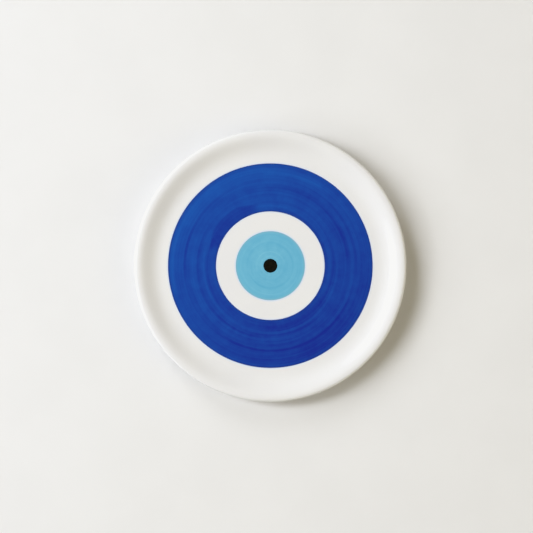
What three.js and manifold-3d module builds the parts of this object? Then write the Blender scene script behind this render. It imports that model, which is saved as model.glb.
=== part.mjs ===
// A small evil eye plate of fired clay: a round plate with a foot ring luted under it, a coat of
// white glaze on its face and underside, and a brushed blue ring, iris and pupil in the glaze.
// Millimetres, +Z up. The plate's axis is Z, and its foot ring stands on z = 0.
import * as THREE from "three";
import { mergeVertices } from "three/addons/utils/BufferGeometryUtils.js";
import Module from "manifold-3d";

// Face
const PLATE_R = 60; // widest point of the lip
const CREST_R = 58.15; // highest point of the lip
const WELL_R = 46.7; // the flat well ends here, and the cove starts
const WELL_Z = 8; // face of the flat well
const WELL_DEPTH = 2.85; // from the lip's crest down to the well
const CREST_Z = WELL_Z + WELL_DEPTH;
const LIP_DROP = 1.7; // from the crest down to the widest point of the lip
const LIP_POWER = 2.8; // roundness of the lip's outer side: 2 is an ellipse, and more is squarer

// Painted eye
const PUPIL_R = 3.1;
const IRIS_R = 15.3;
const RING_INNER_R = 23.95;
const RING_OUTER_R = 45.25;
const PAINT_DEPTH = 0.3; // the brushed colour sinks this far into the glaze
const PUPIL_DEPTH = 0.15; // the pupil is painted over the iris

// Coats of glaze, and the hairline between any two solids that are fused together
const GLAZE = 0.5;
const BASE_GLAZE = 0.4;
const GAP = 0.02;

// Underside. The coats run down the foot ring's walls and stop short of its bare tread.
const GLAZE_LINE_Z = 1.1;
const UNDER_LIP = [57.2, 6.38]; // the round of the lip ends here
const FOOT_ROOT = [42.3, 3.4]; // the plate turns down into the foot ring's outer wall here
const FOOT_OUTER = [40.95, 2.2];
const FOOT_LINE_R = 40.55; // outer wall at the glaze line
const BASE_Z = 3; // glazed ceiling of the hollow inside the foot ring
const BASE_R = 34.3; // the ceiling turns down into the foot ring's inner wall here
const FOOT_INNER = [35.45, 2.2];
const BASE_LINE_R = 35.8; // inner wall at the glaze line
const TREAD_INNER_R = 37;
const TREAD_OUTER_R = 39.2;
const TREAD_ROUND = 0.45; // rounding between the tread and each wall

// Two holes pierced through the foot ring for a hanging cord
const HOLE_R = 0.9;
const HOLE_Z = 1.7;
const HOLE_SPREAD = THREE.MathUtils.degToRad(18); // each side of +Y, the plate's top

// Facets
const SEGMENTS = 64;
const COVE_STEPS = 8;
const LIP_STEPS = 6;
const CURVE_STEPS = 3;
const HOLE_SIDES = 12;

const WHITE_GLAZE = { color: 0xe9e8e2, roughness: 0.18, metalness: 0 };
const BARE_CLAY = { color: 0xd9c8ac, roughness: 0.9, metalness: 0 };
const COBALT = { color: 0x1e459d, roughness: 0.25, metalness: 0 };
const TURQUOISE = { color: 0x6cb5ce, roughness: 0.25, metalness: 0 };
const BLACK = { color: 0x18160e, roughness: 0.3, metalness: 0 };

// Outlines are lists of [radius, height] points, as THREE.Vector2.

/** Height of the glazed face at radius r: flat in the well, then an S-shaped cove up to the crest. */
function faceHeight(r) {
  const t = THREE.MathUtils.clamp((r - WELL_R) / (CREST_R - WELL_R), 0, 1);
  return WELL_Z + WELL_DEPTH * (4 * t ** 3 - 3 * t ** 4);
}

/** The point of the lip's outer side at a turn of 0 at the crest to 1 at the widest point. */
function lipPoint(turn) {
  const angle = (Math.PI / 2) * turn;
  const run = Math.sin(angle) ** (2 / LIP_POWER);
  const fall = 1 - Math.cos(angle) ** (2 / LIP_POWER);
  return [CREST_R + (PLATE_R - CREST_R) * run, CREST_Z - LIP_DROP * fall];
}

/** The glazed face and underside, from the edge of the well over the lip to the foot ring's root. */
function plateSkin() {
  const skin = new THREE.Path().moveTo(WELL_R, WELL_Z);
  for (let i = 1; i <= COVE_STEPS; i++) {
    const r = THREE.MathUtils.lerp(WELL_R, CREST_R, i / COVE_STEPS);
    skin.lineTo(r, faceHeight(r));
  }
  for (let i = 1; i <= LIP_STEPS; i++) {
    skin.lineTo(...lipPoint(i / LIP_STEPS));
  }
  skin.bezierCurveTo(PLATE_R, 7.5, 58.8, 6.72, ...UNDER_LIP);
  skin.bezierCurveTo(52.2, 5.32, 46.9, 4.25, ...FOOT_ROOT);
  return skin.getPoints(CURVE_STEPS);
}

/** The glazed outer wall of the foot ring, from its root down to the glaze line. */
function footSkin() {
  const skin = new THREE.Path().moveTo(...FOOT_ROOT);
  skin.quadraticCurveTo(FOOT_OUTER[0] + 0.35, FOOT_ROOT[1] - 0.2, ...FOOT_OUTER);
  skin.lineTo(FOOT_LINE_R, GLAZE_LINE_Z);
  return skin.getPoints(CURVE_STEPS);
}

/** The glazed inner wall of the foot ring and the ceiling, from the glaze line to the axis. */
function baseSkin() {
  const skin = new THREE.Path().moveTo(BASE_LINE_R, GLAZE_LINE_Z);
  skin.lineTo(...FOOT_INNER);
  skin.quadraticCurveTo(FOOT_INNER[0] - 0.25, BASE_Z, BASE_R, BASE_Z);
  skin.lineTo(0, BASE_Z);
  return skin.getPoints(CURVE_STEPS);
}

/** An outline moved into the clay by a depth, to the right of its own direction of travel. */
function inset(outline, depth) {
  return outline.map((point, i) => {
    const before = outline[Math.max(i - 1, 0)];
    const after = outline[Math.min(i + 1, outline.length - 1)];
    const along = after.clone().sub(before).normalize();
    return new THREE.Vector2(point.x + along.y * depth, point.y - along.x * depth);
  });
}

/** The surface of the fired clay under the glaze, in the stretches that its two pieces share. */
function claySurface() {
  const plate = plateSkin();
  const outer = inset([...plate, ...footSkin().slice(1)], GLAZE + GAP);
  const inner = inset(baseSkin(), BASE_GLAZE + GAP);
  return {
    face: outer.slice(0, plate.length),
    footOuter: outer.slice(plate.length - 1),
    footInner: inner.slice(0, -1),
    ceiling: inner.slice(-2),
  };
}

/** A round solid about +Z. Its outline runs from the axis to the axis, or closes on itself. */
function revolve(outline) {
  const points = outline.map((p) => (p.isVector2 ? p : new THREE.Vector2(...p)));
  return new THREE.LatheGeometry(points.reverse(), SEGMENTS).rotateX(Math.PI / 2);
}

/** The clay plate, without its foot ring. */
function plateBody() {
  const { face, ceiling } = claySurface();
  return revolve([[0, face[0].y], ...face, ...ceiling]);
}

/** The coil of clay luted under the plate: walls that lean in to a flat, rounded tread. */
function footRing() {
  const { footOuter, footInner } = claySurface();
  const lowered = (p) => new THREE.Vector2(p.x, p.y - GAP);
  const tread = new THREE.Path().moveTo(TREAD_OUTER_R + TREAD_ROUND, TREAD_ROUND);
  tread.quadraticCurveTo(TREAD_OUTER_R + TREAD_ROUND, 0, TREAD_OUTER_R, 0);
  tread.lineTo(TREAD_INNER_R, 0);
  tread.quadraticCurveTo(TREAD_INNER_R - TREAD_ROUND, 0, TREAD_INNER_R - TREAD_ROUND, TREAD_ROUND);
  const seam = lowered(footOuter[0]);
  return revolve([
    seam,
    ...footOuter.slice(1),
    ...tread.getPoints(CURVE_STEPS),
    ...footInner.slice(0, -1),
    lowered(footInner.at(-1)),
    seam,
  ]);
}

/** White glaze over the face, the lip and the underside, with shallow seats for the colours. */
function faceGlaze() {
  const skin = [...plateSkin(), ...footSkin().slice(1)];
  const seatZ = WELL_Z - PAINT_DEPTH;
  return revolve([
    [0, seatZ],
    [IRIS_R, seatZ],
    [IRIS_R, WELL_Z],
    [RING_INNER_R, WELL_Z],
    [RING_INNER_R, seatZ],
    [RING_OUTER_R, seatZ],
    [RING_OUTER_R, WELL_Z],
    ...skin,
    ...inset(skin, GLAZE).reverse(),
    [0, WELL_Z - GLAZE],
  ]);
}

/** White glaze in the hollow inside the foot ring. */
function baseGlaze() {
  const skin = baseSkin();
  return revolve([...inset(skin, BASE_GLAZE).reverse(), ...skin]);
}

/** A band of colour lying in its seat, flush with the well. */
function blueRing() {
  const [inner, outer] = [RING_INNER_R + GAP, RING_OUTER_R - GAP];
  const bottom = WELL_Z - PAINT_DEPTH + GAP;
  return revolve([
    [inner, WELL_Z],
    [outer, WELL_Z],
    [outer, bottom],
    [inner, bottom],
    [inner, WELL_Z],
  ]);
}

/** The light blue disc, with a seat for the pupil in its middle. */
function irisDisc() {
  const outer = IRIS_R - GAP;
  const bottom = WELL_Z - PAINT_DEPTH + GAP;
  const seatZ = WELL_Z - PUPIL_DEPTH;
  return revolve([
    [0, seatZ],
    [PUPIL_R, seatZ],
    [PUPIL_R, WELL_Z],
    [outer, WELL_Z],
    [outer, bottom],
    [0, bottom],
  ]);
}

function pupilDot() {
  const outer = PUPIL_R - GAP;
  const bottom = WELL_Z - PUPIL_DEPTH + GAP;
  return revolve([
    [0, WELL_Z],
    [outer, WELL_Z],
    [outer, bottom],
    [0, bottom],
  ]);
}

const wasm = await Module();
wasm.setup();

function toSolid(geometry) {
  const bare = geometry.clone();
  bare.deleteAttribute("normal");
  bare.deleteAttribute("uv");
  const merged = mergeVertices(bare);
  return new wasm.Manifold(new wasm.Mesh({
    numProp: 3,
    vertProperties: new Float32Array(merged.attributes.position.array),
    triVerts: new Uint32Array(merged.index.array),
  }));
}

function toGeometry(solid) {
  const mesh = solid.getMesh();
  const geometry = new THREE.BufferGeometry();
  geometry.setAttribute("position", new THREE.BufferAttribute(mesh.vertProperties, 3));
  geometry.setIndex(new THREE.BufferAttribute(mesh.triVerts, 1));
  geometry.computeVertexNormals();
  return geometry;
}

/** The drill for one cord hole: radial, level, and as long as the foot ring is thick. */
function holeDrill(angle) {
  const [inside, outside] = [BASE_R - 1, FOOT_ROOT[0] + 1];
  return new THREE.CylinderGeometry(HOLE_R, HOLE_R, outside - inside, HOLE_SIDES)
    .translate(0, (inside + outside) / 2, HOLE_Z)
    .rotateZ(angle);
}

/** A piece with the two cord holes drilled through it. */
function pierced(geometry) {
  const drills = [-HOLE_SPREAD, HOLE_SPREAD].map((angle) => toSolid(holeDrill(angle)));
  return toGeometry(drills.reduce((solid, drill) => solid.subtract(drill), toSolid(geometry)));
}

const plate = new THREE.Group();

function add(name, geometry, finish) {
  const mesh = new THREE.Mesh(geometry, new THREE.MeshStandardMaterial(finish));
  mesh.name = name;
  plate.add(mesh);
}

add("plate_body", plateBody(), BARE_CLAY);
add("foot_ring", pierced(footRing()), BARE_CLAY);
add("face_glaze", pierced(faceGlaze()), WHITE_GLAZE);
add("base_glaze", pierced(baseGlaze()), WHITE_GLAZE);
add("blue_ring", blueRing(), COBALT);
add("iris_disc", irisDisc(), TURQUOISE);
add("pupil_dot", pupilDot(), BLACK);

export default plate;
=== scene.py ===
"""Evil eye plate: fine surfaces, materials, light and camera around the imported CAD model.

Everything is in metres in the CAD's own frame: the plate's axis is Z, its foot stands on z = 0,
and +Y is the plate's top. Angles run anticlockwise from +X as seen from above.
"""

from math import atan2, cos, hypot, pi, radians, sin, tan

import bmesh
import bpy
from mathutils import Matrix, Vector, noise


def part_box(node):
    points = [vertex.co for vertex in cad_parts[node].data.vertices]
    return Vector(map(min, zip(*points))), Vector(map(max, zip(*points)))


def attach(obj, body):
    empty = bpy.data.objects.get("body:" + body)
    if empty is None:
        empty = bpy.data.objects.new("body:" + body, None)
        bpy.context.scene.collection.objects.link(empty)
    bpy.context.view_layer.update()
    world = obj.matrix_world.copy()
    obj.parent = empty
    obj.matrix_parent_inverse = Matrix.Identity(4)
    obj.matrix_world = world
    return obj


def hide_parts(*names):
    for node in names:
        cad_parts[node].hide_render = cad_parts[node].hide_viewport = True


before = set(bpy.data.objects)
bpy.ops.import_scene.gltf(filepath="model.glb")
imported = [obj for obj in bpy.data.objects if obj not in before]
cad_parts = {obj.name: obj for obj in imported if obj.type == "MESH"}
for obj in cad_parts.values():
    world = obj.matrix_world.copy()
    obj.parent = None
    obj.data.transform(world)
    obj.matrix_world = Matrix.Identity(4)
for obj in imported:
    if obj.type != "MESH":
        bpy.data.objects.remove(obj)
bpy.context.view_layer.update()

MM = 0.001


# ---------------------------------------------------------------- sizes, from the CAD nodes

def outer_radius(node):
    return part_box(node)[1].x


def inner_radius(node):
    return min(hypot(v.co.x, v.co.y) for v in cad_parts[node].data.vertices)


def top(node):
    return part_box(node)[1].z


PLATE_R = outer_radius("face_glaze")
CREST_Z = top("face_glaze")
WELL_Z = top("blue_ring")
RING_OUTER_R = outer_radius("blue_ring")
RING_INNER_R = inner_radius("blue_ring")
IRIS_R = outer_radius("iris_disc")
PUPIL_R = outer_radius("pupil_dot")

# ---------------------------------------------------------------- sizes of the fine profile

WELL_R = 46.7 * MM  # the flat well ends here
CREST_R = PLATE_R - 1.85 * MM
LIP_DROP = 1.7 * MM
LIP_POWER = 2.8  # roundness of the lip's outer side: 2 is an ellipse, and more is squarer
GLAZE = 0.5 * MM
BASE_GLAZE = 0.4 * MM
GLAZE_LINE_Z = 1.1 * MM
FILM = 0.018 * MM  # how far the colours stand proud of the well
FILM_LIP = 0.004 * MM  # and how far they do right at their edges
FILM_EDGE = 0.45 * MM  # how far in from its edge a colour reaches its full height
FILM_ROOT = 0.2 * MM  # how far a colour sinks into the glaze
SEGMENTS = 288
PUPIL_SEGMENTS = 96
SHARP_ANGLE = radians(35)

# Points of the underside's outline, as (radius, z) in millimetres
UNDER_LIP = (57.2, 6.38)  # the round of the lip ends here
FOOT_ROOT = (42.3, 3.4)  # the plate turns down into the foot ring's outer wall here
FOOT_OUTER = (40.95, 2.2)
FOOT_LINE = (40.55, 1.1)  # outer wall at the glaze line
BASE_LINE = (35.8, 1.1)  # inner wall at the glaze line
FOOT_INNER = (35.45, 2.2)
BASE_EDGE = (34.3, 3.0)  # the ceiling of the hollow starts here
BASE_MIDDLE = (0, 3.0)
TREAD_INNER_R, TREAD_OUTER_R = 37, 39.2
TREAD_ROUND = 0.45  # rounding between the tread and each wall

COVE_STEPS = 40
LIP_STEPS = 24
CEILING_STEPS = 40

HOLE_R = 0.9 * MM
HOLE_Z = 1.7 * MM
HOLE_SPREAD = radians(18)  # each side of +Y
HOLE_MIDDLE = 38.4 * MM  # from the axis to the middle of the foot ring's wall
DRILL_LENGTH = 12 * MM


# ---------------------------------------------------------------- outlines: lists of (radius, z)

def bezier(start, *controls, steps=16):
    """Points in metres, without the start, of a Bezier curve of any degree given in millimetres."""
    points = [Vector(p) for p in (start, *controls)]
    curve = []
    for i in range(1, steps + 1):
        level = points
        while len(level) > 1:
            level = [a.lerp(b, i / steps) for a, b in zip(level, level[1:])]
        curve.append((level[0].x * MM, level[0].y * MM))
    return curve


def face_height(r):
    """Height of the glazed face: flat in the well, then an S-shaped cove up to the crest."""
    t = min(max((r - WELL_R) / (CREST_R - WELL_R), 0), 1)
    return WELL_Z + (CREST_Z - WELL_Z) * (4 * t**3 - 3 * t**4)


def plate_skin():
    """The glazed skin from the edge of the well, over the lip, to the foot ring's root."""
    cove = [WELL_R + (CREST_R - WELL_R) * i / COVE_STEPS for i in range(COVE_STEPS + 1)]
    skin = [(r, face_height(r)) for r in cove]
    for i in range(1, LIP_STEPS + 1):
        a = pi / 2 * i / LIP_STEPS
        run = sin(a) ** (2 / LIP_POWER)
        fall = 1 - cos(a) ** (2 / LIP_POWER)
        skin.append((CREST_R + (PLATE_R - CREST_R) * run, CREST_Z - LIP_DROP * fall))
    widest = (PLATE_R / MM, (CREST_Z - LIP_DROP) / MM)
    skin += bezier(widest, (widest[0], 7.5), (58.8, 6.72), UNDER_LIP)
    skin += bezier(UNDER_LIP, (52.2, 5.32), (46.9, 4.25), FOOT_ROOT, steps=24)
    return skin


def foot_skin():
    """The glazed outer wall of the foot ring, from its root down to the glaze line."""
    return bezier(FOOT_ROOT, (41.3, 3.2), FOOT_OUTER, steps=10) + bezier(FOOT_OUTER, FOOT_LINE, steps=6)


def base_skin():
    """The glazed inner wall of the foot ring and the ceiling, from the glaze line to the axis."""
    wall = [(BASE_LINE[0] * MM, GLAZE_LINE_Z)] + bezier(BASE_LINE, FOOT_INNER, steps=6)
    corner = bezier(FOOT_INNER, (35.2, BASE_EDGE[1]), BASE_EDGE, steps=12)
    return wall + corner + bezier(BASE_EDGE, BASE_MIDDLE, steps=CEILING_STEPS)


def inset(outline, depth):
    """The outline moved to the right of its own direction of travel."""
    moved = []
    for i, (r, z) in enumerate(outline):
        before, after = outline[max(i - 1, 0)], outline[min(i + 1, len(outline) - 1)]
        along = Vector((after[0] - before[0], after[1] - before[1])).normalized()
        moved.append((max(r + along.y * depth, 0.0), z - along.x * depth))
    return moved


def rounded_end(outer, inner, steps=6):
    """Points of a soft bead that closes a coat of glaze from its skin to the clay, at its end."""
    a, b = Vector(outer), Vector(inner)
    middle, half = (a + b) / 2, (a - b) / 2
    down = Vector((half.y, -half.x)) if half.x > 0 else Vector((-half.y, half.x))
    arc = []
    for i in range(1, steps):
        t = pi * i / steps
        p = middle + half * cos(t) + down * sin(t) * 0.6
        arc.append((p.x, p.y))
    return arc


# ---------------------------------------------------------------- meshes

def hand_made(x, y, z):
    """The slight unevenness of a hand-made plate, shared by all its layers so that they stay nested."""
    angle = atan2(y, x)
    r = hypot(x, y) / PLATE_R
    swell = 0.00045 * cos(2 * angle + 0.7) + 0.00030 * cos(3 * angle + 2.1)
    lift = (0.05 * cos(2 * angle + 2.6) + 0.03 * cos(3 * angle + 0.4)) * MM
    high = min(max((z - 3 * MM) / (CREST_Z - 3 * MM), 0), 1)
    ripple = noise.noise(Vector((x, y, z)) * 55) * 0.012 * MM
    return x * (1 + swell), y * (1 + swell), z + (lift * r**3 + ripple) * high


def lathe(name, outline, segments=SEGMENTS):
    """A closed round mesh about Z, from an outline that runs axis to axis or closes on itself."""
    mesh = bpy.data.meshes.new(name)
    bm = bmesh.new()
    rings = []
    for r, z in outline:
        if r < 1e-7:
            rings.append([bm.verts.new(hand_made(0, 0, z))])
            continue
        ring = []
        for s in range(segments):
            a = 2 * pi * s / segments
            ring.append(bm.verts.new(hand_made(r * cos(a), r * sin(a), z)))
        rings.append(ring)
    closed = len(rings[0]) > 1
    pairs = list(zip(rings, rings[1:])) + ([(rings[-1], rings[0])] if closed else [])
    for low, high in pairs:
        for s in range(segments):
            t = (s + 1) % segments
            corners = [low[s % len(low)], low[t % len(low)], high[t % len(high)], high[s % len(high)]]
            bm.faces.new(list(dict.fromkeys(corners)))
    bmesh.ops.recalc_face_normals(bm, faces=bm.faces)
    bm.to_mesh(mesh)
    bm.free()
    piece = bpy.data.objects.new(name, mesh)
    bpy.context.scene.collection.objects.link(piece)
    return piece


def finish_mesh(piece):
    piece.data.shade_smooth()
    piece.data.set_sharp_from_angle(angle=SHARP_ANGLE)


def pierce(piece):
    """Cuts the two cord holes through a piece of the foot ring."""
    for side in (-1, 1):
        bpy.ops.mesh.primitive_cylinder_add(vertices=40, radius=HOLE_R, depth=DRILL_LENGTH)
        drill = bpy.context.object
        level = Matrix.Rotation(pi / 2, 4, "X")
        place = Matrix.Translation((0, HOLE_MIDDLE, HOLE_Z))
        turn = Matrix.Rotation(side * HOLE_SPREAD, 4, "Z")
        drill.data.transform(turn @ place @ level)
        cut = piece.modifiers.new("cord hole", "BOOLEAN")
        cut.operation = "DIFFERENCE"
        cut.solver = "EXACT"
        cut.object = drill
        bpy.context.view_layer.objects.active = piece
        bpy.ops.object.modifier_apply(modifier=cut.name)
        bpy.data.objects.remove(drill)


def wavy_glaze_line(piece, seed):
    """Lets the lower edge of a coat wander a little, as a wiped edge does."""
    for v in piece.data.vertices:
        near = min(max(1 - (v.co.z - GLAZE_LINE_Z) / (1.2 * MM), 0), 1)
        a = atan2(v.co.y, v.co.x)
        wave = noise.noise(Vector((cos(a) * 4, sin(a) * 4, seed))) * 0.22 * MM
        v.co.z += wave * near


def face_glaze():
    skin = plate_skin() + foot_skin()
    clay = inset(skin, GLAZE)
    well = [WELL_R * i / 24 for i in range(24)]
    outline = [(r, WELL_Z) for r in well] + skin
    outline += rounded_end(skin[-1], clay[-1]) + clay[::-1] + [(0, WELL_Z - GLAZE)]
    piece = lathe("face_glaze_coat", outline)
    wavy_glaze_line(piece, seed=1)
    pierce(piece)
    return piece


def base_glaze():
    skin = base_skin()
    clay = inset(skin, BASE_GLAZE)
    outline = clay[::-1] + rounded_end(clay[0], skin[0]) + skin
    piece = lathe("base_glaze_coat", outline)
    wavy_glaze_line(piece, seed=5)
    pierce(piece)
    return piece


def clay_surface():
    """The clay under the glaze: face and underside, outer foot wall, inner foot wall, ceiling."""
    plate = plate_skin()
    outer = inset(plate + foot_skin(), GLAZE)
    inner = inset(base_skin(), BASE_GLAZE)
    root = len(plate) - 1
    corner = len(inner) - 1 - CEILING_STEPS
    return outer[:root + 1], outer[root:], inner[:corner + 1], inner[corner:]


def plate_clay():
    face, _, _, ceiling = clay_surface()
    return lathe("plate_clay", [(0, face[0][1])] + face + ceiling)


def foot_clay():
    _, outer_wall, inner_wall, _ = clay_surface()
    start = (TREAD_OUTER_R + TREAD_ROUND, TREAD_ROUND)
    end = (TREAD_INNER_R - TREAD_ROUND, TREAD_ROUND)
    tread = bezier(start, (TREAD_OUTER_R + 0.4, 0), (TREAD_OUTER_R, 0), steps=6)
    tread += bezier((TREAD_OUTER_R, 0), (TREAD_INNER_R, 0), steps=6)
    tread += bezier((TREAD_INNER_R, 0), (TREAD_INNER_R - 0.4, 0), end, steps=6)
    outline = outer_wall + [(start[0] * MM, start[1] * MM)] + tread + inner_wall
    piece = lathe("foot_clay", outline)
    pierce(piece)
    return piece


def film_height(r, inner, outer):
    """Height of a colour's surface: level, with edges that melt down into the glaze."""
    reach = min(r - inner, outer - r) if inner else outer - r
    t = min(max(reach / FILM_EDGE, 0), 1)
    return WELL_Z + FILM_LIP + (FILM - FILM_LIP) * t * t * (3 - 2 * t)


def ring_film():
    """The brushed ring: a thin film that is sunk into the glaze and just proud of it."""
    steps = 64
    span = RING_OUTER_R - RING_INNER_R
    radii = [RING_INNER_R + span * (1 - cos(pi * i / steps)) / 2 for i in range(steps + 1)]
    outline = [(r, film_height(r, RING_INNER_R, RING_OUTER_R)) for r in radii]
    outline += [(RING_OUTER_R, WELL_Z - FILM_ROOT), (RING_INNER_R, WELL_Z - FILM_ROOT)]
    return lathe("ring_paint", outline)


def disc_outline(outer, root, steps):
    """The outline of a round spot of colour, from the axis over its edge and back to the axis."""
    radii = [outer * sin(pi / 2 * i / steps) for i in range(steps + 1)]
    top_side = [(r, film_height(r, 0, outer)) for r in radii]
    return top_side + [(outer, WELL_Z - root), (0, WELL_Z - root)]


def iris_film():
    return lathe("iris_paint", disc_outline(IRIS_R, FILM_ROOT, steps=40))


def pupil_film():
    """The pupil lies on the iris, so it stands one film higher."""
    outline = disc_outline(PUPIL_R, FILM_ROOT / 2, steps=16)
    return lathe("pupil_paint", [(r, z + FILM) for r, z in outline], segments=PUPIL_SEGMENTS)


# ---------------------------------------------------------------- node helpers

class Tree:
    """A material's nodes, with short calls for the few kinds that the materials use."""

    def __init__(self, name):
        self.material = bpy.data.materials.new(name)
        self.material.use_nodes = True
        self.nodes = self.material.node_tree.nodes
        self.links = self.material.node_tree.links
        self.shader = self.nodes["Principled BSDF"]

    def put(self, socket, value):
        if isinstance(value, bpy.types.NodeSocket):
            self.links.new(value, socket)
        else:
            socket.default_value = value

    def maths(self, operation, *values):
        node = self.nodes.new("ShaderNodeMath")
        node.operation = operation
        for socket, value in zip(node.inputs, values):
            self.put(socket, value)
        return node.outputs[0]

    def add(self, a, b):
        return self.maths("ADD", a, b)

    def times(self, a, b):
        return self.maths("MULTIPLY", a, b)

    def ramp(self, value, low, high, to_low=0.0, to_high=1.0):
        """A smooth step from to_low to to_high, as value goes from low to high."""
        node = self.nodes.new("ShaderNodeMapRange")
        node.interpolation_type = "SMOOTHSTEP"
        for name, v in zip(("Value", "From Min", "From Max", "To Min", "To Max"),
                           (value, low, high, to_low, to_high)):
            self.put(node.inputs[name], v)
        return node.outputs[0]

    def vector(self, x, y, z):
        node = self.nodes.new("ShaderNodeCombineXYZ")
        for socket, value in zip(node.inputs, (x, y, z)):
            self.put(socket, value)
        return node.outputs[0]

    def place(self):
        """The point's x, y, z in the plate's frame, in millimetres."""
        coordinates = self.nodes.new("ShaderNodeTexCoord").outputs["Object"]
        split = self.nodes.new("ShaderNodeSeparateXYZ")
        self.links.new(coordinates, split.inputs[0])
        return [self.times(axis, 1000.0) for axis in split.outputs]

    def noise(self, vector, scale, detail=2.0, roughness=0.5):
        node = self.nodes.new("ShaderNodeTexNoise")
        self.put(node.inputs["Vector"], vector)
        for name, v in (("Scale", scale), ("Detail", detail), ("Roughness", roughness)):
            self.put(node.inputs[name], v)
        return node.outputs["Fac"]

    def mix(self, share, a, b):
        node = self.nodes.new("ShaderNodeMix")
        node.data_type = "RGBA"
        self.put(node.inputs["Factor"], share)
        self.put(node.inputs["A"], a)
        self.put(node.inputs["B"], b)
        return node.outputs["Result"]

    def bump(self, height, distance, strength=1.0, normal=None):
        node = self.nodes.new("ShaderNodeBump")
        self.put(node.inputs["Height"], height)
        self.put(node.inputs["Distance"], distance)
        self.put(node.inputs["Strength"], strength)
        if normal is not None:
            self.put(node.inputs["Normal"], normal)
        return node.outputs[0]


def colour(red, green, blue):
    """A linear colour from 0-255 sRGB values."""
    def linear(v):
        v /= 255
        return v / 12.92 if v <= 0.04045 else ((v + 0.055) / 1.055) ** 2.4
    return linear(red), linear(green), linear(blue), 1.0


class Wheel:
    """The turning wheel under the brush: each point's distance from the axis and its direction."""

    def __init__(self, tree):
        self.tree = tree
        x, y, _ = tree.place()
        squares = tree.add(tree.times(x, x), tree.times(y, y))
        self.radius = tree.maths("SQRT", squares)
        safe = tree.maths("MAXIMUM", self.radius, 0.001)
        self.east = tree.maths("DIVIDE", x, safe)
        self.north = tree.maths("DIVIDE", y, safe)

    def towards(self, degrees):
        """How nearly a point lies in a direction: 1 there, -1 opposite."""
        a = radians(degrees)
        return self.tree.add(self.tree.times(self.east, cos(a)), self.tree.times(self.north, sin(a)))

    def hairs(self, width, length, seed, detail=2.0):
        """Noise drawn out along the brush's path: width in mm across it, length in turns' radians."""
        t = self.tree
        drift = t.add(self.radius, t.times(self.towards(seed * 47), 0.35))
        vector = t.vector(t.times(self.east, 1 / length), t.times(self.north, 1 / length),
                          t.add(t.times(drift, 1 / width), seed * 9.7))
        return t.noise(vector, 1.0, detail)

    def band(self, radius, width, strength=1.0):
        """A mask for a whole circle: its radius and half-width in mm."""
        off = self.tree.maths("ABSOLUTE", self.tree.add(self.radius, -radius))
        return self.tree.ramp(off, 0.0, width, strength, 0.0)

    def stroke(self, radius, width, start, end, soft=14):
        """A mask for one stroke: its radius and half-width in mm, its ends in degrees."""
        t = self.tree
        middle, half = (start + end) / 2, (end - start) / 2
        across = self.band(radius, width)
        outside = cos(radians(min(half + soft, 179)))
        inside = cos(radians(max(half - soft, 1)))
        along = t.ramp(self.towards(middle), outside, inside)
        return t.times(across, along)


# ---------------------------------------------------------------- materials

GLOSS = 0.05  # roughness of the fired glaze
BLEED_WIDTH = 1.0  # mm that a little of each colour bleeds out into the white glaze
BLEED_SHARE = 0.5
UNDERSIDE_TOP = 6.0  # mm: the glaze below this is on the underside, where nothing is painted


def glaze_shader(tree, x, y, z):
    """What all glazed surfaces share: a glassy coat with faint orange peel and uneven gloss."""
    t = tree
    where = t.vector(x, y, z)
    t.put(t.shader.inputs["IOR"], 1.5)
    t.put(t.shader.inputs["Specular IOR Level"], 0.5)
    uneven = t.noise(where, 0.35, 3.0)
    t.put(t.shader.inputs["Roughness"], t.ramp(uneven, 0.3, 0.7, GLOSS - 0.02, GLOSS + 0.03))
    peel = t.noise(where, 0.9, 2.0)
    return t.bump(peel, 0.00001, 0.35)


def white_glaze():
    t = Tree("white_glaze")
    x, y, z = t.place()
    where = t.vector(x, y, z)
    cloud = t.ramp(t.noise(where, 0.05, 3.0), 0.3, 0.7)
    cool_white, plain_white = colour(234, 234, 235), colour(236, 236, 236)
    pale_blue, pore_brown = colour(198, 218, 250), colour(216, 208, 196)
    white = t.mix(cloud, cool_white, plain_white)
    wheel = Wheel(t)
    on_face = t.ramp(z, UNDERSIDE_TOP, UNDERSIDE_TOP + 1.0, 0.0, BLEED_SHARE)
    for edge in (IRIS_R, RING_INNER_R, RING_OUTER_R):
        white = t.mix(wheel.band(edge / MM, BLEED_WIDTH, on_face), white, pale_blue)
    pores = t.ramp(t.noise(where, 1.7, 1.0), 0.70, 0.80)
    t.put(t.shader.inputs["Base Color"], t.mix(t.times(pores, 0.25), white, pore_brown))
    t.put(t.shader.inputs["Normal"], glaze_shader(t, x, y, z))
    return t.material


def brushed(name, thin, thick, bare, rim, strokes, depth, edges, hairs):
    """A banded colour. strokes is a list of (radius, half-width, start, end, weight); a positive
    weight lays more colour and a negative one less. edges is a list of (radius, width, share) for
    where the rim's colour shows."""
    t = Tree(name)
    x, y, z = t.place()
    wheel = Wheel(t)
    coat = depth(wheel)
    for width, length, weight, seed in hairs:
        streak = t.add(wheel.hairs(width, length, seed), -0.5)
        coat = t.add(coat, t.times(streak, weight))
    for radius, width, start, end, weight in strokes:
        coat = t.add(coat, t.times(wheel.stroke(radius, width, start, end), weight))
    full = t.mix(t.maths("MINIMUM", t.maths("MAXIMUM", coat, 0.0), 1.0), thin, thick)
    paint = t.mix(t.ramp(coat, -0.45, 0.0, 0.5, 0.0), full, bare)
    for radius, width, share in edges:
        paint = t.mix(wheel.band(radius, width, share), paint, rim)
    t.put(t.shader.inputs["Base Color"], paint)
    relief = t.bump(coat, 0.000012, 0.5, glaze_shader(t, x, y, z))
    t.put(t.shader.inputs["Normal"], relief)
    return t.material


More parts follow.
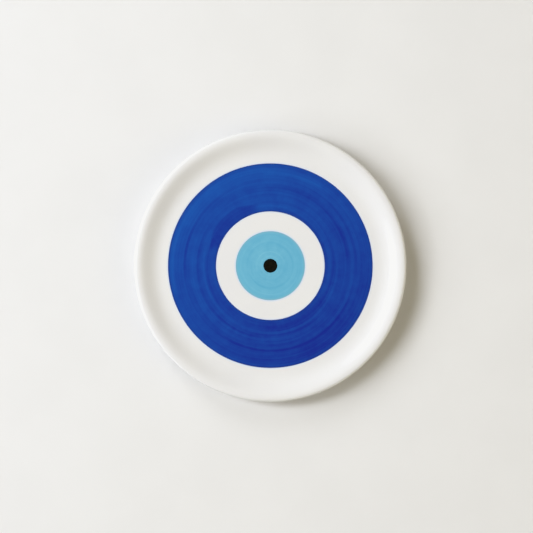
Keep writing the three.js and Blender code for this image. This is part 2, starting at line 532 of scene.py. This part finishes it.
# The brush's strokes in the cobalt ring: radius and half-width in mm, start and end in degrees,
# and how much colour each one lays (+) or leaves out (-).
COBALT_STROKES = [
    (37.9, 0.9, 0, 180, 0.20),
    (37.9, 1.1, 166, 179, 0.20),
    (37.6, 1.0, 236, 340, 0.20),
    (35.3, 1.2, 262, 284, 0.14),
    (38.5, 8.0, 284, 328, 0.11),
    (42.0, 3.5, 256, 326, 0.07),
    (33.6, 3.4, 12, 36, 0.20),
    (35.0, 2.2, 62, 76, 0.12),
    (36.7, 1.3, 84, 112, -0.16),
    (40.9, 1.1, 66, 82, -0.28),
    (43.4, 1.6, 158, 196, -0.22),
    (42.0, 4.0, 84, 170, -0.14),
    (41.0, 4.0, 205, 230, -0.08),
    (34.2, 1.5, 162, 230, -0.20),
    (32.0, 1.0, 156, 262, 0.20),
    (31.0, 1.0, 250, 308, 0.22),
    (29.6, 0.9, 165, 360, -0.20),
    (28.2, 0.8, 0, 103, 0.24),
    (28.0, 0.9, 162, 208, 0.16),
    (27.6, 2.4, 256, 330, 0.13),
    (27.6, 1.4, 325, 360, 0.14),
    (26.4, 1.2, -12, 14, -0.22),
    (26.6, 1.0, 74, 98, -0.20),
    (25.0, 1.0, 16, 76, 0.20),
]
LAP_RADIUS = 28.0  # where the brush set down, its colour laps over an arc by the ring's inner edge
LAP_SWELL = 1.8
LAP_MIDDLE = 134


def cobalt_depth(wheel):
    """The cobalt lies thickest at the lower right, at the brush's lap, and in soft patches."""
    t = wheel.tree
    coat = t.add(0.47, t.times(wheel.towards(304), 0.21))
    swell = t.ramp(wheel.towards(LAP_MIDDLE), cos(radians(31)), 1.0, 0.0, LAP_SWELL)
    past = t.add(wheel.radius, t.times(swell, -1.0))
    inside = t.ramp(past, LAP_RADIUS - 0.7, LAP_RADIUS + 0.3, 0.38, 0.0)
    arc = t.ramp(wheel.towards(LAP_MIDDLE), cos(radians(35)), cos(radians(24)))
    return t.add(coat, t.times(inside, arc))


def cobalt():
    return brushed(
        "cobalt_blue",
        thin=colour(27, 84, 174), thick=colour(22, 43, 146), bare=colour(60, 118, 200),
        rim=colour(28, 62, 141), strokes=COBALT_STROKES, depth=cobalt_depth,
        edges=[(RING_OUTER_R / MM, 1.1, 0.9), (RING_INNER_R / MM, 1.1, 0.9)],
        hairs=[(2.6, 2.6, 0.45, 3), (0.8, 2.2, 0.50, 7), (0.3, 1.2, 0.30, 12), (6.0, 0.16, 0.50, 5),
               (1.6, 0.06, 0.26, 9)],
    )


IRIS_STROKES = [
    (9.9, 0.8, 215, 435, 0.34),
    (10.2, 0.8, 75, 215, 0.22),
    (6.2, 0.5, 20, 200, -0.3),
    (12.8, 0.7, 190, 330, -0.2),
    (4.2, 0.5, 0, 350, -0.3),
]


def iris_depth(wheel):
    t = wheel.tree
    return t.add(0.5, t.times(wheel.towards(330), 0.08))


def turquoise():
    return brushed(
        "light_blue",
        thin=colour(119, 191, 218), thick=colour(97, 175, 209), bare=colour(150, 210, 231),
        rim=colour(128, 184, 205), strokes=IRIS_STROKES, depth=iris_depth,
        edges=[(IRIS_R / MM, 1.2, 0.8)],
        hairs=[(1.6, 1.6, 0.6, 21), (0.5, 1.2, 0.5, 25), (0.25, 0.8, 0.25, 28), (3.0, 0.3, 0.7, 23)],
    )


PUPIL_COAT = 0.6  # an even coat, for its hairs to vary


def pupil_depth(_wheel):
    return PUPIL_COAT


def black():
    return brushed(
        "black_paint",
        thin=colour(28, 25, 14), thick=colour(3, 3, 2), bare=colour(45, 38, 24),
        rim=colour(4, 16, 19), strokes=[], depth=pupil_depth,
        edges=[(PUPIL_R / MM, 1.1, 0.9)],
        hairs=[(0.8, 0.6, 1.6, 33), (0.3, 0.4, 0.8, 37)],
    )


def bare_clay():
    t = Tree("bare_clay")
    x, y, z = t.place()
    where = t.vector(x, y, z)
    buff, pale_buff, grit_brown = colour(214, 196, 168), colour(228, 213, 188), colour(168, 140, 108)
    mottle = t.ramp(t.noise(where, 0.25, 4.0), 0.3, 0.7)
    clay = t.mix(mottle, buff, pale_buff)
    grit = t.ramp(t.noise(where, 4.5, 2.0), 0.62, 0.72)
    clay = t.mix(t.times(grit, 0.5), clay, grit_brown)
    t.put(t.shader.inputs["Base Color"], clay)
    t.put(t.shader.inputs["Roughness"], 0.92)
    t.put(t.shader.inputs["Specular IOR Level"], 0.25)
    grain = t.bump(t.noise(where, 6.0, 4.0, 0.65), 0.00005, 0.7)
    turning = t.noise(t.vector(0.0, 0.0, t.times(z, 3.0)), 1.0)
    t.put(t.shader.inputs["Normal"], t.bump(turning, 0.00005, 0.4, grain))
    return t.material


# The table's far part glows, which is painted light standing in for the lit floor of a studio sweep.
# These are the distances where it starts and is full, and its strength.
SWEEP_NEAR, SWEEP_FAR = 260.0, 900.0  # mm from the plate
FAR_TABLE_PAINTED_LIGHT = 0.60


def table_top():
    """A pale matt table. Far from the plate it glows a little: painted light, an emitted glow that
    stands in for the lit floor of a studio sweep.
    """
    t = Tree("pale_table")
    x, y, z = t.place()
    where = t.vector(x, y, z)
    cloud = t.ramp(t.noise(where, 0.03, 3.0), 0.3, 0.7)
    t.put(t.shader.inputs["Base Color"], t.mix(cloud, colour(233, 233, 233), colour(235, 235, 235)))
    t.put(t.shader.inputs["Roughness"], 0.85)
    t.put(t.shader.inputs["Specular IOR Level"], 0.1)
    grain = t.noise(where, 0.8, 4.0, 0.6)
    t.put(t.shader.inputs["Normal"], t.bump(grain, 0.0001, 0.25))
    # Painted light: an emitted glow that brightens the table far from the plate, as if lit there.
    painted_far_light = t.ramp(Wheel(t).radius, SWEEP_NEAR, SWEEP_FAR, 0.0, FAR_TABLE_PAINTED_LIGHT)
    t.put(t.shader.inputs["Emission Color"], (1.0, 1.0, 1.0, 1.0))
    t.put(t.shader.inputs["Emission Strength"], painted_far_light)
    t.material.cycles.emission_sampling = "NONE"  # as a lamp, so faint a glow only adds noise
    return t.material


# ---------------------------------------------------------------- the object

def dress(piece, material, node):
    piece.data.materials.clear()
    piece.data.materials.append(material)
    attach(piece, "root")
    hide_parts(node)


def build_plate():
    clay, glaze = bare_clay(), white_glaze()
    pieces = [
        (plate_clay(), clay, "plate_body", "bare_clay"),
        (foot_clay(), clay, "foot_ring", "bare_clay"),
        (face_glaze(), glaze, "face_glaze", "white_glaze"),
        (base_glaze(), glaze, "base_glaze", "white_glaze"),
        (ring_film(), cobalt(), "blue_ring", "cobalt_blue"),
        (iris_film(), turquoise(), "iris_disc", "light_blue"),
        (pupil_film(), black(), "pupil_dot", "black_paint"),
    ]
    for piece, material, node, slot in pieces:
        finish_mesh(piece)
        dress(piece, material, node)


# ---------------------------------------------------------------- stage, light and camera

TABLE_SIZE = 6


def build_stage():
    bpy.ops.mesh.primitive_plane_add(size=TABLE_SIZE)
    table = bpy.context.object
    table.name = "table"
    table.data.materials.append(table_top())


# The lights' places and strengths were fitted to the shading and shadows of the reference, with the
# plate's guessed height. They reproduce its look, and are not a measurement of a real room.
# Panels of light: azimuth and elevation of the middle in degrees, distance, width and height in
# metres, and radiance. The window is two bands, each from a lower to an upper height.
WINDOW_AZIMUTH = 163.5
WINDOW_DISTANCE = 0.9
WINDOW_WIDTH = 1.28
WINDOW_BANDS = [("window_low", 0.755, 1.07, 5.1), ("window_high", 1.07, 1.44, 10.2)]
SIDE_PANELS = [
    ("side_window_north", 121.5, 33, 1.1, 0.32, 0.45, 6.5),
    ("side_window_south", 205.5, 33, 1.1, 0.32, 0.45, 4.2),
]
WALL_PANELS = [("far_wall", 345, 20, 1.3, 1.6, 0.7, 1.42)]
AMBIENT = 0.23
ZENITH = 0.08  # the ceiling above the camera is dark
DAYLIGHT = (0.970, 1.0, 1.098)
ROOM_LIGHT = (1.12, 1.0, 0.755)
HORIZON = (0.78, 0.78, 0.78)  # the backdrop, low down behind the table
BACKDROP_TOP = 0.16  # sine of the elevation where the backdrop has faded into the walls
CEILING_EDGE, CEILING_FULL = 0.88, 0.96  # sines of those where the dark ceiling starts and is full

# A dim bow of panes that is only seen mirrored in the glaze. The panels that light the plate are
# hidden from mirror images, because they would show much too bright there.
GLINT_PANES = 6
GLINT_SPREAD = 69  # degrees of azimuth
GLINT_LOW, GLINT_HIGH = 44, 55  # degrees of elevation
GLINT_RADIANCE = 1.8


def panel(name, middle, target, width, height, radiance, tint, mirrored=False):
    """An area light, which either lights the scene or is only seen mirrored in it."""
    data = bpy.data.lights.new(name, "AREA")
    data.shape = "RECTANGLE"
    data.size, data.size_y = width, height
    data.energy = radiance * pi * width * height
    data.color = tint
    light = bpy.data.objects.new(name, data)
    light.location = middle
    light.rotation_euler = (Vector(target) - Vector(middle)).to_track_quat("-Z", "Z").to_euler()
    light.visible_glossy = mirrored
    light.visible_diffuse = not mirrored
    bpy.context.scene.collection.objects.link(light)


def sphere_point(azimuth, elevation, distance):
    a, e = radians(azimuth), radians(elevation)
    return Vector((cos(e) * cos(a), cos(e) * sin(a), sin(e))) * distance


def build_light():
    a = radians(WINDOW_AZIMUTH)
    for name, low, high, radiance in WINDOW_BANDS:
        z = (low + high) / 2
        middle = (WINDOW_DISTANCE * cos(a), WINDOW_DISTANCE * sin(a), z)
        panel(name, middle, (0, 0, z), WINDOW_WIDTH, high - low, radiance, DAYLIGHT)
    for panels, tint in ((SIDE_PANELS, DAYLIGHT), (WALL_PANELS, ROOM_LIGHT)):
        for name, azimuth, elevation, distance, width, height, radiance in panels:
            middle = sphere_point(azimuth, elevation, distance)
            panel(name, middle, (0, 0, 0), width, height, radiance, tint)


def build_glint():
    step = GLINT_SPREAD / GLINT_PANES
    elevation = (GLINT_LOW + GLINT_HIGH) / 2
    width = 2 * tan(radians(step / 2)) * cos(radians(elevation))
    height = 2 * tan(radians((GLINT_HIGH - GLINT_LOW) / 2))
    for i in range(GLINT_PANES):
        azimuth = WINDOW_AZIMUTH + (i - (GLINT_PANES - 1) / 2) * step
        middle = sphere_point(azimuth, elevation, 1.0)
        panel(f"glint_{i}", middle, (0, 0, 0), width, height, GLINT_RADIANCE, DAYLIGHT, mirrored=True)


def build_room():
    """Soft warm light from the walls, less from straight above, and a pale backdrop low down."""
    world = bpy.data.worlds.new("room")
    bpy.context.scene.world = world
    world.use_nodes = True
    nodes, links = world.node_tree.nodes, world.node_tree.links
    direction = nodes.new("ShaderNodeTexCoord").outputs["Generated"]
    split = nodes.new("ShaderNodeSeparateXYZ")
    links.new(direction, split.inputs[0])
    by_height = nodes.new("ShaderNodeValToRGB")
    links.new(split.outputs["Z"], by_height.inputs["Fac"])
    links.new(by_height.outputs["Color"], nodes["Background"].inputs["Color"])
    wall = [c * AMBIENT for c in ROOM_LIGHT]
    ceiling = [c * ZENITH for c in ROOM_LIGHT]
    by_height.color_ramp.interpolation = "EASE"
    stops = by_height.color_ramp.elements
    for height in (BACKDROP_TOP, CEILING_EDGE, CEILING_FULL):
        stops.new(height)
    for stop, shade in zip(stops, (HORIZON, wall, wall, ceiling, ceiling)):
        stop.color = (*shade, 1.0)


CAMERA_HEIGHT = 0.9
VIEW_WIDTH = 0.2348  # of the scene at the height of the lip, across the frame
SENSOR = 36.0
PLATE_RIGHT, PLATE_UP = 1.70 * MM, 0.35 * MM  # how far the plate lies off the middle of the view


def build_camera():
    data = bpy.data.cameras.new("camera")
    data.sensor_width = SENSOR
    data.lens = SENSOR * (CAMERA_HEIGHT - CREST_Z) / VIEW_WIDTH
    camera = bpy.data.objects.new("camera", data)
    camera.location = (-PLATE_RIGHT, -PLATE_UP, CAMERA_HEIGHT)
    bpy.context.scene.collection.objects.link(camera)
    bpy.context.scene.camera = camera


# Scene brightness and the brightness it is shown at: highlights roll off, as on film.
SHOULDER = [(0, 0), (0.84, 0.84), (0.92, 0.905), (1.0, 0.94), (1.2, 0.96), (2.0, 0.99)]
BLUE_TOP = 0.963  # shows the whites a little warm


def build_view():
    """Shows scene brightness as it is, with a soft shoulder for the highlights."""
    view = bpy.context.scene.view_settings
    view.view_transform = "Standard"
    view.look = "None"
    view.exposure = 0
    view.gamma = 1
    view.use_curve_mapping = True
    curves = view.curve_mapping
    curves.use_clip = False
    curves.curves[2].points[1].location = (1.0, BLUE_TOP)
    points = curves.curves[3].points
    points[0].location, points[1].location = SHOULDER[0], SHOULDER[1]
    for level in SHOULDER[2:]:
        points.new(*level)
    for point in points[:2]:
        point.handle_type = "VECTOR"
    curves.update()


build_camera()
build_plate()
build_stage()
build_light()
build_glint()
build_room()
build_view()

bpy.context.view_layer.update()
